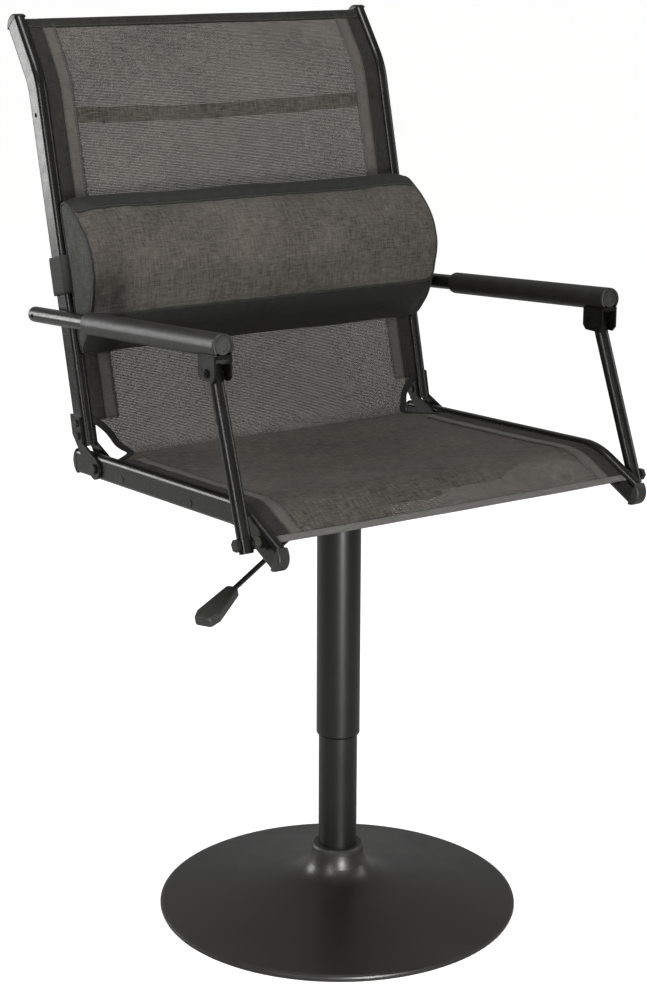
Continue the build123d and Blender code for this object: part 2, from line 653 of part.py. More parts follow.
TD = ((POST_TOP[0] - POST_BEND[0]), (POST_TOP[1] - POST_BEND[1]))
TL = hypot(*TD)
TD = (TD[0] / TL, TD[1] / TL)
TU = (-TD[1], TD[0])
with BuildPart() as post_caps:
    for sx in (-1, 1):
        with BuildSketch(Plane.YZ.offset(sx * RAIL_X - 7.5)):
            with BuildLine():
                a = off(POST_TOP, TD, 0, TU, 15.4)
                b = off(POST_TOP, TD, 0, TU, -15.4)
                m2 = off(POST_TOP, TD, 9.0, TU, 0.0)
                ThreePointArc(a, m2, b)
                Line(b, a)
            make_face()
        extrude(amount=15.0)
        with BuildSketch(Plane(origin=(sx * RAIL_X, *FOOT), x_dir=(1, 0, 0), z_dir=(0, -POST_D[0], -POST_D[1]))):
            RectangleRounded(SEC_W - 0.4, SEC_H - 0.4, SEC_FIL - 0.2)
        extrude(amount=1.6)
    fillet(post_caps.faces().filter_by(Axis.X).edges().filter_by(GeomType.CIRCLE), radius=2.6)
post_caps.part.label = "post_caps"
export_step(post_caps.part, "parts/post_caps.step")

# Hinge plates, one each side of the rail, riveted to the post's foot.
with BuildPart() as hinge_plate_left:
    for x0 in (255.3, 237.6):
        with BuildSketch(Plane.YZ.offset(x0)):
            with BuildLine():
                Polyline((137.0, 583.8), (171.5, 597.0), (178.5, 628.0), (202.5, 628.0), (197.5, 604.0), (178.0, 584.0), (156.0, 566.0), close=True)
            make_face()
            with Locations(P0):
                Circle(13.0)
            with Locations(P0):
                Circle(4.05, mode=Mode.SUBTRACT)
        extrude(amount=3.0)
hinge_plate_left.part.label = "hinge_plate_left"
export_step(hinge_plate_left.part, "parts/hinge_plate_left.step")

with BuildPart() as hinge_plate_right:
    mirror(hinge_plate_left.part, about=Plane.YZ)
hinge_plate_right.part.label = "hinge_plate_right"
export_step(hinge_plate_right.part, "parts/hinge_plate_right.step")

with BuildPart() as plate_rivets:
    for sx in (-1, 1):
        for zz in (604.0, 619.0):
            with BuildSketch(Plane(origin=(sx * 258.3, post_y(zz), zz), x_dir=(0, 1, 0), z_dir=(sx, 0, 0))):
                Circle(4.6)
            extrude(amount=2.2)
            with BuildSketch(Plane(origin=(sx * 237.6, post_y(zz), zz), x_dir=(0, 1, 0), z_dir=(-sx, 0, 0))):
                Circle(4.6)
            extrude(amount=1.8)
plate_rivets.part.label = "plate_rivets"
export_step(plate_rivets.part, "parts/plate_rivets.step")

# Back crossbar: one long bow behind the sling, welded between the posts.
UY, UZ = post_y(980.0), 980.0
BOW = 42.0
with BuildPart() as back_bar_upper:
    with BuildLine() as ubar:
        ThreePointArc((-241.0, UY, UZ), (0, UY - POST_F[0] * BOW, UZ - POST_F[1] * BOW), (241.0, UY, UZ))
    with BuildSketch(Plane(origin=ubar.line @ 0, z_dir=ubar.line % 0)):
        Circle(9.5)
        Circle(8.0, mode=Mode.SUBTRACT)
    sweep()
    with BuildSketch(Plane.YZ.offset(241.0)):
        with Locations((UY, UZ)):
            Circle(14.0)
    extrude(amount=8.0, mode=Mode.SUBTRACT)
    with BuildSketch(Plane.YZ.offset(-249.0)):
        with Locations((UY, UZ)):
            Circle(14.0)
    extrude(amount=8.0, mode=Mode.SUBTRACT)
back_bar_upper.part.label = "back_bar_upper"
export_step(back_bar_upper.part, "parts/back_bar_upper.step")

# Pivot pins of the arms, riveted in the posts' outer walls, with a washer shoulder.
with BuildPart() as arm_pins:
    for sx in (-1, 1):
        with BuildSketch(Plane(origin=(sx * 249.6, *P1), x_dir=(0, 1, 0), z_dir=(sx, 0, 0))):
            Circle(4.0)
        extrude(amount=20.4)
        with BuildSketch(Plane(origin=(sx * 255.0, *P1), x_dir=(0, 1, 0), z_dir=(sx, 0, 0))):
            Circle(6.0)
        extrude(amount=1.7)
arm_pins.part.label = "arm_pins"
export_step(arm_pins.part, "parts/arm_pins.step")

# Back sling in the posts' keder slots.
BS_FOOT_Z = 630.0


def back_sheet(d):
    """Line d behind the section's front, as offset from the posts' centre line."""
    foot = (post_y(BS_FOOT_Z) + POST_F[0] * d, BS_FOOT_Z + POST_F[1] * d)
    # mitred corner between the recline and the top section
    n1 = POST_F
    n2 = (-TD[1], TD[0])
    bx, by = n1[0] + n2[0], n1[1] + n2[1]
    bl = hypot(bx, by)
    bx, by = bx / bl, by / bl
    k = d / (bx * n1[0] + by * n1[1])
    corner = (POST_BEND[0] + bx * k, POST_BEND[1] + by * k)
    top = (POST_TOP[0] + n2[0] * d - TD[0] * 2.0, POST_TOP[1] + n2[1] * d - TD[1] * 2.0)
    return [foot, corner, top]


with BuildPart() as back_sling:
    with BuildSketch(Plane.YZ.offset(-RAIL_X + 2.0)):
        with BuildLine():
            u = FilletPolyline(*back_sheet(KEDER_OFF + SHEET_T / 2), radius=90.0 + KEDER_OFF)
            l = FilletPolyline(*back_sheet(KEDER_OFF - SHEET_T / 2), radius=90.0 + KEDER_OFF)
            Line(u @ 0, l @ 0)
            Line(u @ 1, l @ 1)
        make_face()
    extrude(amount=2 * RAIL_X - 4.0)
    with BuildSketch(Plane(origin=(0, *back_sheet(KEDER_OFF)[0]), x_dir=(1, 0, 0), z_dir=(0, -POST_D[0], -POST_D[1]))):
        Rectangle(408.0, SHEET_T)
    extrude(amount=20.0)
    for xa in (-RAIL_X + 0.2, RAIL_X - 3.8):
        with BuildSketch(Plane.YZ.offset(xa)):
            with BuildLine():
                u = FilletPolyline(*back_sheet(KEDER_OFF + 1.8), radius=90.0 + KEDER_OFF)
                l = FilletPolyline(*back_sheet(KEDER_OFF - 1.8), radius=90.0 + KEDER_OFF)
                Line(u @ 0, l @ 0)
                Line(u @ 1, l @ 1)
            make_face()
        extrude(amount=3.6)
back_sling.part.label = "back_sling"
export_step(back_sling.part, "parts/back_sling.step")

# ================================================================ lumbar body
CUSHION_HALF = 250.0
with BuildPart() as lumbar_cushion:
    with BuildSketch(Plane.YZ.offset(-CUSHION_HALF)):
        with BuildLine():
            pts = [back_yz(*p) for p in ((1.8, -100.0), (22.0, -108.0), (46.0, -84.0), (58.0, -20.0), (53.0, 42.0), (33.0, 78.0), (10.0, 88.0), (1.8, 80.0))]
            Spline(*pts)
            Line(pts[-1], pts[0])
        make_face()
    extrude(amount=2 * CUSHION_HALF)
lumbar_cushion.part.label = "lumbar_cushion"
export_step(lumbar_cushion.part, "parts/lumbar_cushion.step")

# Elastic strap: from the cushion's back round the posts and across behind them.
ST_LO, ST_HI = -31.0, 15.0
with BuildPart() as lumbar_strap:
    with BuildSketch(Plane(origin=(0, *back_yz(-15.0, ST_LO)), x_dir=(1, 0, 0), z_dir=(0, *POST_D))):
        RectangleRounded(2 * 256.5, 32.8, 6.0)
        RectangleRounded(2 * 255.4, 30.6, 5.4, mode=Mode.SUBTRACT)
        Rectangle(488.0, 40.0, mode=Mode.SUBTRACT)
        with Locations((0, 15.85)):
            Rectangle(489.0, 1.1)
        for sx in (-1, 1):
            with Locations((sx * 241.0, -15.85)):
                Rectangle(10.0, 1.1)
    extrude(amount=ST_HI - ST_LO)
lumbar_strap.part.label = "lumbar_strap"
export_step(lumbar_strap.part, "parts/lumbar_strap.step")

# ================================================================ arms
SLEEVE_A, SLEEVE_B = 80.3, 388.2
with BuildPart() as arm_bar_left:
    with BuildSketch(arm_plane(ARM_X, -60.0)):
        Circle(ARM_R)
    extrude(amount=60.0 + SLEEVE_B - 6.0)
    with BuildSketch(arm_plane(ARM_X, -60.0)):
        Circle(ARM_R - 1.5)
    extrude(amount=60.0 + SLEEVE_B - 6.0, mode=Mode.SUBTRACT)
    with BuildSketch(Plane.YZ.offset(ARM_X - 12.0)):
        with Locations(P1):
            Circle(4.05)
    extrude(amount=12.0, mode=Mode.SUBTRACT)
    with BuildSketch(Plane.YZ.offset(ARM_X)):
        with Locations((P1[0] + 52.0, P1[1] - 4.1)):
            Circle(2.6)
    extrude(amount=14.0, mode=Mode.SUBTRACT)
arm_bar_left.part.label = "arm_bar_left"
export_step(arm_bar_left.part, "parts/arm_bar_left.step")

with BuildPart() as arm_bar_right:
    mirror(arm_bar_left.part, about=Plane.YZ)
arm_bar_right.part.label = "arm_bar_right"
export_step(arm_bar_right.part, "parts/arm_bar_right.step")

with BuildPart() as arm_sleeve_left:
    with BuildSketch(arm_plane(ARM_X, SLEEVE_A)):
        Circle(SLEEVE_R)
    extrude(amount=SLEEVE_B - SLEEVE_A)
    fillet(arm_sleeve_left.faces().sort_by(Axis.Y)[-1].edges(), radius=3.6)
    fillet(arm_sleeve_left.faces().sort_by(Axis.Y)[0].edges(), radius=2.2)
    with BuildSketch(arm_plane(ARM_X, SLEEVE_A)):
        Circle(ARM_R)
    extrude(amount=SLEEVE_B - SLEEVE_A, mode=Mode.SUBTRACT)
    # slit where the clevis is screwed to the bar
    with BuildSketch(arm_plane(ARM_X, 352.0, 11.0)):
        Rectangle(18.4, 8.0)
    extrude(amount=36.4, mode=Mode.SUBTRACT)
arm_sleeve_left.part.label = "arm_sleeve_left"
export_step(arm_sleeve_left.part, "parts/arm_sleeve_left.step")

with BuildPart() as arm_sleeve_right:
    mirror(arm_sleeve_left.part, about=Plane.YZ)
arm_sleeve_right.part.label = "arm_sleeve_right"
export_step(arm_sleeve_right.part, "parts/arm_sleeve_right.step")

# End plugs: a dished disc in the sleeve's mouth and a domed plug behind.
with BuildPart() as arm_plugs_left:
    with BuildSketch(arm_plane(ARM_X, SLEEVE_B - 6.0)):
        Circle(ARM_R)
    extrude(amount=4.4)
    with BuildSketch(arm_plane(ARM_X, SLEEVE_B - 16.0)):
        Circle(ARM_R - 1.5)
    extrude(amount=10.0)
    with BuildSketch(arm_plane(ARM_X, SLEEVE_B - 2.6)):
        Circle(6.2)
    extrude(amount=2.0, mode=Mode.SUBTRACT)
    with BuildSketch(arm_plane(ARM_X, -60.0)):
        Circle(ARM_R - 1.5)
    extrude(amount=8.0)
    with BuildSketch(arm_plane(ARM_X, -67.2)):
        Circle(ARM_R)
    extrude(amount=7.2)
    fillet(arm_plugs_left.faces().sort_by(Axis.Y)[-1].edges(), radius=5.6)
arm_plugs_left.part.label = "arm_plugs_left"
export_step(arm_plugs_left.part, "parts/arm_plugs_left.step")

with BuildPart() as arm_plugs_right:
    mirror(arm_plugs_left.part, about=Plane.YZ)
arm_plugs_right.part.label = "arm_plugs_right"
export_step(arm_plugs_right.part, "parts/arm_plugs_right.step")

# Clevis: folded bracket under the front of the arm, with its pin.
CLV = 353.0
EAR_IN, EAR_T = 8.9, 2.4
with BuildPart() as arm_clevis_left:
    with BuildSketch(arm_plane(ARM_X, CLV, 12.0)):
        Rectangle(2 * EAR_IN, 4.4)
    extrude(amount=34.0)
    for sx in (-1, 1):
        with BuildSketch(Plane(origin=(ARM_X + sx * (EAR_IN + EAR_T / 2) - EAR_T / 2, P2[0], P2[1]), x_dir=(0, 1, 0), z_dir=(1, 0, 0))):
            with BuildLine():
                Polyline((-17.5, 21.0), (-17.5, -3.0), (-12.5, -8.5), (12.0, -8.5), (17.0, -3.0), (17.0, 18.3), close=True)
            make_face()
        extrude(amount=EAR_T)
    with BuildSketch(Plane(origin=(ARM_X - 14.6, *P2), x_dir=(0, 1, 0), z_dir=(1, 0, 0))):
        Circle(3.0)
    extrude(amount=29.2)
    for sx in (-1, 1):
        with BuildSketch(Plane(origin=(ARM_X + sx * (EAR_IN + EAR_T), *P2), x_dir=(0, 1, 0), z_dir=(sx, 0, 0))):
            Circle(5.0)
        extrude(amount=2.4)
arm_clevis_left.part.label = "arm_clevis_left"
export_step(arm_clevis_left.part, "parts/arm_clevis_left.step")

with BuildPart() as arm_clevis_right:
    mirror(arm_clevis_left.part, about=Plane.YZ)
arm_clevis_right.part.label = "arm_clevis_right"
export_step(arm_clevis_right.part, "parts/arm_clevis_right.step")

# ================================================================ struts
SV = (ARM_X - STRUT_X, P2[0] - P3[0], P2[1] - P3[1])
SL = sqrt(SV[0] ** 2 + SV[1] ** 2 + SV[2] ** 2)
SD = (SV[0] / SL, SV[1] / SL, SV[2] / SL)
S0 = (STRUT_X - SD[0] * 10.0, P3[0] - SD[1] * 10.0, P3[1] - SD[2] * 10.0)
with BuildPart() as strut_left:
    with BuildSketch(Plane(origin=S0, z_dir=SD)):
        Circle(STRUT_R)
        Circle(STRUT_R - 1.4, mode=Mode.SUBTRACT)
    extrude(amount=SL + 10.0 + 8.0)
    with BuildSketch(Plane.YZ.offset(STRUT_X - 12.0)):
        with Locations(P3):
            Circle(4.05)
    extrude(amount=24.0, mode=Mode.SUBTRACT)
    with BuildSketch(Plane.YZ.offset(ARM_X - 12.0)):
        with Locations(P2):
            Circle(3.4)
    extrude(amount=24.0, mode=Mode.SUBTRACT)
strut_left.part.label = "strut_left"
export_step(strut_left.part, "parts/strut_left.step")

with BuildPart() as strut_right:
    mirror(strut_left.part, about=Plane.YZ)
strut_right.part.label = "strut_right"
export_step(strut_right.part, "parts/strut_right.step")
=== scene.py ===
import json
import math

import bmesh
import bpy
import numpy as np
from mathutils import Matrix, Vector


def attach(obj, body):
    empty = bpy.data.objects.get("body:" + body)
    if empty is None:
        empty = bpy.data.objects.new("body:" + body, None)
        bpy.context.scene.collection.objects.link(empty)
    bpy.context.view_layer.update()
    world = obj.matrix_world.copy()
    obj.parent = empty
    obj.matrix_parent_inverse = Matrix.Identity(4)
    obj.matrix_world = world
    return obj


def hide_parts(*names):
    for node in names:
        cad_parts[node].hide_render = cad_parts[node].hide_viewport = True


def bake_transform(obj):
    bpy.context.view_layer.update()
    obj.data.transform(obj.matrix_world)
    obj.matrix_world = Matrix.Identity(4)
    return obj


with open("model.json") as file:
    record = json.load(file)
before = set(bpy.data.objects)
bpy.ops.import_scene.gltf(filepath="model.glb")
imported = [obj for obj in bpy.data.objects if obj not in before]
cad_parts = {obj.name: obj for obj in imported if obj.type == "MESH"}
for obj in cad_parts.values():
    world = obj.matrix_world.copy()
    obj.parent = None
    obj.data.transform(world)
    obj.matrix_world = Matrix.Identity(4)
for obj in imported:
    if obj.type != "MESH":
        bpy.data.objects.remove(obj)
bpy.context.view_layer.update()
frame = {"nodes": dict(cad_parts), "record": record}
NODES = frame["nodes"]
MM = 0.001
scene = bpy.context.scene


# ------------------------------------------------------------------ materials
def new_mat(name):
    m = bpy.data.materials.new(name)
    m.use_nodes = True
    return m, m.node_tree, m.node_tree.nodes["Principled BSDF"]


def node(nt, kind, **props):
    n = nt.nodes.new(kind)
    for k, v in props.items():
        setattr(n, k, v)
    return n


def ramp(nt, fac, stops):
    r = node(nt, "ShaderNodeValToRGB")
    el = r.color_ramp.elements
    while len(el) < len(stops):
        el.new(0.5)
    for e, (p, c) in zip(el, stops):
        e.position = p
        e.color = (*c, 1.0)
    nt.links.new(fac, r.inputs["Fac"])
    return r.outputs["Color"]


def noise_of(nt, scale, detail=4.0, rough=0.55, coords=None):
    if coords is None:
        coords = node(nt, "ShaderNodeTexCoord").outputs["Object"]
    n = node(nt, "ShaderNodeTexNoise")
    n.inputs["Scale"].default_value = scale
    n.inputs["Detail"].default_value = detail
    n.inputs["Roughness"].default_value = rough
    nt.links.new(coords, n.inputs["Vector"])
    return n.outputs["Fac"]


def to_range(nt, value, lo, hi, a=0.3, b=0.7):
    r = node(nt, "ShaderNodeMapRange")
    r.inputs["From Min"].default_value = a
    r.inputs["From Max"].default_value = b
    r.inputs["To Min"].default_value = lo
    r.inputs["To Max"].default_value = hi
    nt.links.new(value, r.inputs["Value"])
    return r.outputs["Result"]


def math_node(nt, op, a, b=None, c=None):
    m = node(nt, "ShaderNodeMath", operation=op)
    for i, v in enumerate((a, b, c)):
        if v is None:
            continue
        if isinstance(v, (int, float)):
            m.inputs[i].default_value = v
        else:
            nt.links.new(v, m.inputs[i])
    return m.outputs[0]


def bump_to(nt, shader, height, strength, distance, base=None):
    b = node(nt, "ShaderNodeBump")
    b.inputs["Strength"].default_value = strength
    b.inputs["Distance"].default_value = distance
    nt.links.new(height, b.inputs["Height"])
    if base is not None:
        nt.links.new(base, b.inputs["Normal"])
    nt.links.new(b.outputs["Normal"], shader.inputs["Normal"])
    return b.outputs["Normal"]


def coated(name, dark, light, rough, grain=900.0, bump=0.12, dist=0.0002, blotch=14.0, metallic=0.0, coat=0.0, cells=False, spec=0.3):
    """Paint, moulding or metal: two-scale colour variation, uneven gloss and a fine surface grain."""
    m, nt, b = new_mat(name)
    fine = noise_of(nt, grain, 2.0)
    wide = noise_of(nt, blotch, 5.0)
    both = math_node(nt, "MULTIPLY_ADD", fine, 0.35, math_node(nt, "MULTIPLY", wide, 0.65))
    nt.links.new(ramp(nt, both, [(0.35, dark), (0.65, light)]), b.inputs["Base Color"])
    nt.links.new(to_range(nt, noise_of(nt, blotch * 4, 4.0), rough[0], rough[1]), b.inputs["Roughness"])
    b.inputs["Metallic"].default_value = metallic
    b.inputs["Coat Weight"].default_value = coat
    b.inputs["Coat Roughness"].default_value = 0.25
    b.inputs["Specular IOR Level"].default_value = spec
    if cells:
        v = node(nt, "ShaderNodeTexVoronoi")
        v.inputs["Scale"].default_value = grain
        nt.links.new(node(nt, "ShaderNodeTexCoord").outputs["Object"], v.inputs["Vector"])
        bump_to(nt, b, v.outputs["Distance"], bump, dist)
    else:
        bump_to(nt, b, fine, bump, dist)
    return m


def woven(name, dark, light, pitch, axes=None, holes=0.0, rough=0.85, bump=0.6, sheen=0.15, blotch=25.0, twill=0.0, spec=0.25, aspect=1.0, yarn=0.55):
    """Woven or knitted cloth. axes None reads the sheet's own metric UV; otherwise two directions in the object's frame."""
    m, nt, b = new_mat(name)
    if axes is None:
        uv = node(nt, "ShaderNodeUVMap", uv_map="UVMap").outputs["UV"]
        sep = node(nt, "ShaderNodeSeparateXYZ")
        nt.links.new(uv, sep.inputs[0])
        u, v = sep.outputs["X"], sep.outputs["Y"]
    else:
        oc = node(nt, "ShaderNodeTexCoord").outputs["Object"]
        outs = []
        for ax in axes:
            d = node(nt, "ShaderNodeVectorMath", operation="DOT_PRODUCT")
            nt.links.new(oc, d.inputs[0])
            d.inputs[1].default_value = ax
            outs.append(d.outputs["Value"])
        u, v = outs
    if twill:
        u = math_node(nt, "MULTIPLY_ADD", v, twill, u)
    a = math_node(nt, "ABSOLUTE", math_node(nt, "SINE", math_node(nt, "MULTIPLY", u, math.pi / pitch)))
    c = math_node(nt, "ABSOLUTE", math_node(nt, "SINE", math_node(nt, "MULTIPLY", v, math.pi / (pitch * aspect))))
    low = math_node(nt, "MINIMUM", a, c)
    wide = noise_of(nt, blotch, 5.0, 0.6)
    slub = noise_of(nt, 0.55 / pitch, 3.0)
    yarns = []
    for fu, fv in ((0.10, 0.85), (0.85, 0.10)):
        cb = node(nt, "ShaderNodeCombineXYZ")
        nt.links.new(math_node(nt, "MULTIPLY", u, fu / pitch), cb.inputs["X"])
        nt.links.new(math_node(nt, "MULTIPLY", v, fv / pitch), cb.inputs["Y"])
        yarns.append(noise_of(nt, 1.0, 2.0, 0.5, cb.outputs[0]))
    streak = math_node(nt, "ADD", yarns[0], yarns[1])
    tone = math_node(nt, "MULTIPLY_ADD", low, -0.10, math_node(nt, "MULTIPLY_ADD", wide, 0.30, math_node(nt, "MULTIPLY_ADD", streak, yarn, math_node(nt, "MULTIPLY", slub, 0.25))))
    mid = 0.275 + yarn - 0.07
    nt.links.new(ramp(nt, tone, [(mid - 0.22, dark), (mid + 0.22, light)]), b.inputs["Base Color"])
    nt.links.new(to_range(nt, slub, rough - 0.08, rough + 0.08), b.inputs["Roughness"])
    b.inputs["Sheen Weight"].default_value = sheen
    b.inputs["Sheen Roughness"].default_value = 0.4
    b.inputs["Specular IOR Level"].default_value = spec
    height = math_node(nt, "MULTIPLY_ADD", slub, 0.3, math_node(nt, "SUBTRACT", 1.0, low))
    bump_to(nt, b, height, bump, pitch * 0.35)
    if holes > 0:
        k = math.sin(math.pi / 2 * (1 - math.sqrt(holes)))
        nt.links.new(to_range(nt, low, 1.0, 0.0, k - 0.03, k + 0.05), b.inputs["Alpha"])
    return m


M = {
    "base_paint": coated("satin_base_paint", (0.0058, 0.0049, 0.0039), (0.0100, 0.0087, 0.0070), (0.34, 0.40), grain=700, bump=0.06, dist=0.0002, blotch=9, spec=0.50),
    "powder_coat": coated("fine_powder_coat", (0.0020, 0.0020, 0.0017), (0.0046, 0.0045, 0.0038), (0.24, 0.32), grain=1400, bump=0.12, dist=0.00015, blotch=18, spec=0.22),
    "moulded_black": coated("moulded_plastic", (0.013, 0.013, 0.011), (0.024, 0.0235, 0.020), (0.38, 0.48), grain=1500, bump=0.30, dist=0.0002, blotch=22, cells=True),
    "bolt_black": coated("black_oxide", (0.014, 0.014, 0.014), (0.030, 0.029, 0.027), (0.26, 0.42), grain=1800, bump=0.15, dist=0.0001, blotch=60, metallic=0.7),
    "bright_steel": coated("turned_steel", (0.42, 0.42, 0.41), (0.60, 0.60, 0.58), (0.18, 0.30), grain=2200, bump=0.05, dist=0.0001, blotch=40, metallic=1.0),
    "weight_iron": coated("cast_iron", (0.030, 0.029, 0.028), (0.060, 0.056, 0.052), (0.55, 0.75), grain=420, bump=0.5, dist=0.0006, blotch=25, metallic=0.3),
    "rubber_ring": coated("soft_rubber", (0.010, 0.010, 0.010), (0.020, 0.020, 0.019), (0.68, 0.82), grain=1100, bump=0.25, dist=0.0002, blotch=30),
    "foam_sleeve": coated("cell_foam", (0.0030, 0.0029, 0.0025), (0.0070, 0.0067, 0.0058), (0.42, 0.52), grain=1300, bump=0.35, dist=0.0003, blotch=35, cells=True, spec=0.35),
}
for key in ("mesh_fabric", "pad_fabric"):
    M[key] = woven("cloth_plain_" + key, (0.02, 0.02, 0.019), (0.05, 0.048, 0.045), 0.0016, axes=((1, 0, 0), (0, 0.7, 0.7)))
COLUMN = coated("column_gloss_black", (0.0018, 0.0017, 0.0014), (0.0040, 0.0038, 0.0031), (0.34, 0.41), grain=1500, bump=0.04, dist=0.0001, blotch=16, spec=0.30)
CAP = coated("cap_moulding", (0.006, 0.0066, 0.0054), (0.012, 0.0128, 0.0105), (0.38, 0.48), grain=1600, bump=0.22, dist=0.0002, blotch=26, cells=True)
PLUG = coated("plug_moulding", (0.016, 0.0165, 0.0150), (0.028, 0.0285, 0.0265), (0.36, 0.46), grain=1600, bump=0.2, dist=0.0002, blotch=30, cells=True)

slot_of = {s["node"]: s["material_slot"] for s in frame["record"].get("subparts", [])}
special = {"column_tube": COLUMN, "cover_tube": COLUMN, "gas_cylinder": COLUMN, "cover_ring": COLUMN,
           "rail_caps": CAP, "post_caps": CAP, "arm_plugs_left": PLUG, "arm_plugs_right": PLUG}
for name, obj in NODES.items():
    m = special.get(name) or M.get(slot_of.get(name, "powder_coat"), M["powder_coat"])
    if not obj.material_slots:
        obj.data.materials.append(m)
    for s in obj.material_slots:
        s.material = m

SLING = woven("sling_mesh", (0.0060, 0.0052, 0.0043), (0.066, 0.059, 0.051), 0.0016, holes=0.085, rough=0.8, bump=0.05, sheen=0.03, blotch=9, aspect=1.2, yarn=0.50, spec=0.06)
HEM = woven("hem_double", (0.0035, 0.0033, 0.0028), (0.0180, 0.0168, 0.0145), 0.0013, rough=0.8, bump=0.3, sheen=0.03, blotch=30, spec=0.12)
TAPE = woven("edge_tape", (0.026, 0.0240, 0.0205), (0.064, 0.059, 0.052), 0.0011, rough=0.66, bump=0.3, sheen=0.05, blotch=40, twill=0.6, spec=0.15)
BIND = woven("notch_binding", (0.0022, 0.0022, 0.0019), (0.0080, 0.0078, 0.0070), 0.0010, rough=0.66, bump=0.4, sheen=0.02, blotch=60, spec=0.15)
THREAD = coated("sewing_thread", (0.020, 0.020, 0.019), (0.060, 0.058, 0.055), (0.5, 0.6), grain=3000, bump=0.5, dist=0.0002, blotch=200)
FRONTWEB = woven("front_webbing", (0.026, 0.025, 0.022), (0.070, 0.066, 0.060), 0.0016, rough=0.7, bump=0.6, sheen=0.2, blotch=60, twill=1.0)
PAD_TOP = woven("pad_top_cloth", (0.0040, 0.0042, 0.0034), (0.0100, 0.0105, 0.0088), 0.0009, axes=((1, 0, 0), (0, 0.95, 0.3)), rough=0.6, bump=0.3, sheen=0.03, blotch=12, spec=0.2)
PAD_FRONT = woven("pad_front_mesh", (0.0070, 0.0062, 0.0054), (0.074, 0.066, 0.058), 0.0016, axes=((1, 0, 0), (0, 0.50, 0.87)), rough=0.82, bump=0.10, sheen=0.03, blotch=14, aspect=1.2, yarn=0.36, spec=0.06)
# darker cloth for the pad's underside and back: partly a real black lower panel, partly painted shade standing in
# for the shadow on the downward-facing underside
PAD_LOW_AND_SHADE = woven("pad_lower_cloth_and_painted_shade", (0.0030, 0.0030, 0.0024), (0.0090, 0.0088, 0.0074), 0.0012, axes=((1, 0, 0), (0, -0.4, 0.92)), rough=0.66, bump=0.4, sheen=0.02, blotch=12, spec=0.18)
PAD_END = woven("pad_end_mesh", (0.0130, 0.0135, 0.0115), (0.060, 0.063, 0.054), 0.0014, axes=((0, 1, 0), (0, 0, 1)), rough=0.8, bump=0.4, sheen=0.04, blotch=45, spec=0.12)
PIPING = woven("piping_cord", (0.0028, 0.0028, 0.0022), (0.0080, 0.0078, 0.0066), 0.0009, axes=((1, 0, 0), (0, 0.6, 0.8)), rough=0.6, bump=0.4, sheen=0.1, blotch=60)
STRAP = woven("strap_webbing", (0.0080, 0.0080, 0.0068), (0.0260, 0.0255, 0.0220), 0.0014, rough=0.68, bump=0.5, sheen=0.04, blotch=45, twill=1.0, spec=0.2)


# ------------------------------------------------------------------ mesh helpers
def make(name, verts, faces, mat, uv=None, smooth=True, mats=None, face_mat=None):
    me = bpy.data.meshes.new(name)
    me.from_pydata([tuple(v) for v in verts], [], [tuple(int(i) for i in f) for f in faces])
    me.validate()
    for m in mats or [mat]:
        me.materials.append(m)
    if face_mat is not None:
        me.polygons.foreach_set("material_index", np.asarray(face_mat, np.int32))
    if uv is not None:
        layer = me.uv_layers.new(name="UVMap")
        idx = np.zeros(len(me.loops), np.int32)
        me.loops.foreach_get("vertex_index", idx)
        layer.data.foreach_set("uv", np.asarray(uv, np.float32)[idx].ravel())
    me.polygons.foreach_set("use_smooth", [smooth] * len(me.polygons))
    me.update()
    o = bpy.data.objects.new(name, me)
    scene.collection.objects.link(o)
    return o


def fillet_path(pts, radii, step):
    """Points along straight runs joined by tangent arcs, evenly spaced."""
    out = [np.array(pts[0], float)]
    for i in range(1, len(pts) - 1):
        p, a, c = (np.array(q, float) for q in (pts[i], pts[i - 1], pts[i + 1]))
        u, v = (a - p) / np.linalg.norm(a - p), (c - p) / np.linalg.norm(c - p)
        half = math.acos(np.clip(u @ v, -1, 1)) / 2
        cut = radii[i - 1] / math.tan(half)
        centre = p + (u + v) / np.linalg.norm(u + v) * radii[i - 1] / math.sin(half)
        s, e = p + u * cut - centre, p + v * cut - centre
        turn = math.atan2(s[0] * e[1] - s[1] * e[0], s @ e)
        for k in range(25):
            t = turn * k / 24
            out.append(centre + np.array([s[0] * math.cos(t) - s[1] * math.sin(t), s[0] * math.sin(t) + s[1] * math.cos(t)]))
    out.append(np.array(pts[-1], float))
    out = np.array(out)
    d = np.r_[0, np.cumsum(np.linalg.norm(np.diff(out, axis=0), axis=1))]
    n = int(round(d[-1] / step)) + 1
    s = np.linspace(0, d[-1], n)
    return s, np.c_[np.interp(s, d, out[:, 0]), np.interp(s, d, out[:, 1])]


def catmull(pts, per=8, closed=False):
    p = np.array(pts, float)
    n = len(p)
    out = []
    for i in range(n if closed else n - 1):
        a = p[(i - 1) % n] if closed or i > 0 else 2 * p[0] - p[1]
        b, c = p[i], p[(i + 1) % n]
        d = p[(i + 2) % n] if closed or i + 2 < n else 2 * p[-1] - p[-2]
        for k in range(per):
            t = k / per
            out.append(0.5 * (2 * b + (c - a) * t + (2 * a - 5 * b + 4 * c - d) * t * t + (3 * b - a - 3 * c + d) * t ** 3))
    if not closed:
        out.append(p[-1])
    return np.array(out)


